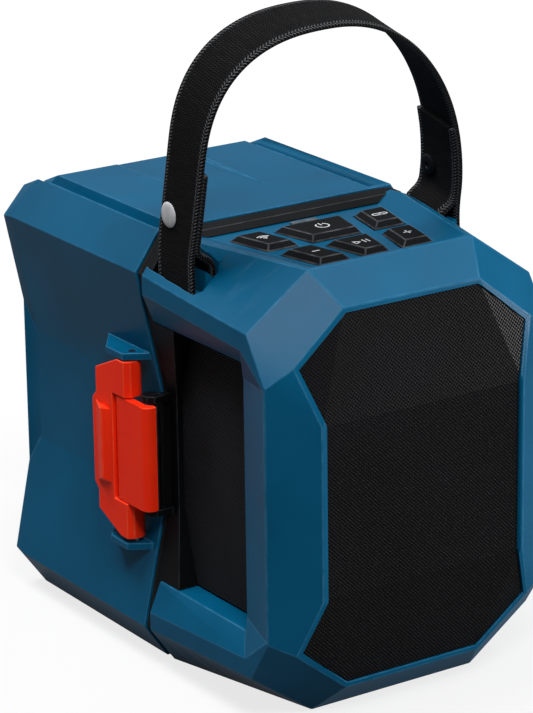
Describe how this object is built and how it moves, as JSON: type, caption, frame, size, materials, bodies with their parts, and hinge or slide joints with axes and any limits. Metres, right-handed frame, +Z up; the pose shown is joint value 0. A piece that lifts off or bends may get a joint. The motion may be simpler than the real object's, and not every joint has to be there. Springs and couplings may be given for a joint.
{
  "type": "bluetooth speaker",
  "caption": "Portable battery speaker: faceted blue head with black grille and top controls, hinged battery door, red draw latch and webbing carrying strap.",
  "frame": {"origin": "middle of the middle foot's underside, on the ground, on the left-right middle plane", "axes": "+X to the right seen from the front, +Y from the grille to the back, +Z up"},
  "size_m": [0.1444, 0.2076, 0.2765],
  "materials": {
    "blue_shell": "fine grain, slight sheen",
    "black_mesh": "matt black mesh",
    "black_plastic": "fine grain",
    "key_rubber": "satin keycaps",
    "rubber": "matt",
    "painted_steel": "black paint",
    "diaphragm": "matt",
    "circuit_board": "solder mask",
    "clear_lens": "milky",
    "brass": "plain",
    "steel": "plain",
    "webbing": "woven",
    "rivet_metal": "satin",
    "red_latch": "satin gloss"
  },
  "bodies": {
    "head": {"front_housing": "blue_shell", "front_grille": "black_mesh", "speaker_baffle": "black_plastic", "driver_basket": "painted_steel", "driver_magnet": "painted_steel", "driver_cone": "diaphragm", "driver_surround": "rubber", "side_mesh_left": "black_mesh", "side_mesh_right": "black_mesh", "passive_radiator_left": "diaphragm", "passive_radiator_right": "diaphragm", "mid_frame": "black_plastic", "deck_trim": "black_plastic", "control_board": "circuit_board", "led_lens": "clear_lens", "main_board": "circuit_board", "battery_dock": "black_plastic", "dock_terminals": "brass", "strap_bar_left": "blue_shell", "strap_bar_right": "blue_shell", "strap_loop_left": "webbing", "strap_loop_right": "webbing", "front_foot": "rubber", "middle_foot": "rubber", "frame_screws": "steel", "door_gasket": "rubber", "keeper_bar": "steel"},
    "door": {"rear_door": "blue_shell", "door_foot": "rubber", "hinge_pin": "steel", "latch_pins": "steel"},
    "lever": {"latch_lever": "red_latch", "hook_pin": "steel"},
    "hook": {"latch_hook": "red_latch"},
    "strap": {"carry_strap": "webbing", "rivet_caps": "rivet_metal", "rivet_backs": "black_plastic"},
    "power_key": {"button_power": "key_rubber"},
    "pair_key": {"button_pair": "key_rubber"},
    "link_key": {"button_link": "key_rubber"},
    "minus_key": {"button_minus": "key_rubber"},
    "play_key": {"button_play": "key_rubber"},
    "plus_key": {"button_plus": "key_rubber"}
  },
  "joints": [
    {"name": "door_hinge", "type": "hinge", "parent": "head", "child": "door", "pos_m": [0.068, 0.0169, 0.0925], "axis": [0, 0, -1], "range_deg": [0, 110]},
    {"name": "latch_lever_turn", "type": "hinge", "parent": "door", "child": "lever", "pos_m": [-0.0645, 0.0264, 0.091], "axis": [0, 0, 1], "range_deg": [0, 88]},
    {"name": "latch_hook_turn", "type": "hinge", "parent": "lever", "child": "hook", "pos_m": [-0.067, 0.0308, 0.091], "axis": [0, 0, 1], "range_deg": [-88, 0]},
    {"name": "strap_swing", "type": "hinge", "parent": "head", "child": "strap", "pos_m": [0, -0.0081, 0.182], "axis": [1, 0, 0], "range_deg": [-35, 15]},
    {"name": "power_press", "type": "slide", "parent": "head", "child": "power_key", "axis": [0, 0, -1], "range_m": [0, 0.0008], "stiffness_N_per_m": 1500, "springref_m": -0.0003},
    {"name": "pair_press", "type": "slide", "parent": "head", "child": "pair_key", "axis": [0, 0, -1], "range_m": [0, 0.0008], "stiffness_N_per_m": 1500, "springref_m": -0.0003},
    {"name": "link_press", "type": "slide", "parent": "head", "child": "link_key", "axis": [0, 0, -1], "range_m": [0, 0.0008], "stiffness_N_per_m": 1500, "springref_m": -0.0003},
    {"name": "minus_press", "type": "slide", "parent": "head", "child": "minus_key", "axis": [0, 0, -1], "range_m": [0, 0.0008], "stiffness_N_per_m": 1500, "springref_m": -0.0003},
    {"name": "play_press", "type": "slide", "parent": "head", "child": "play_key", "axis": [0, 0, -1], "range_m": [0, 0.0008], "stiffness_N_per_m": 1500, "springref_m": -0.0003},
    {"name": "plus_press", "type": "slide", "parent": "head", "child": "plus_key", "axis": [0, 0, -1], "range_m": [0, 0.0008], "stiffness_N_per_m": 1500, "springref_m": -0.0003}
  ],
  "couplings": [
    {"joint": "latch_hook_turn", "follows": "latch_lever_turn", "ratio": -1}
  ]
}
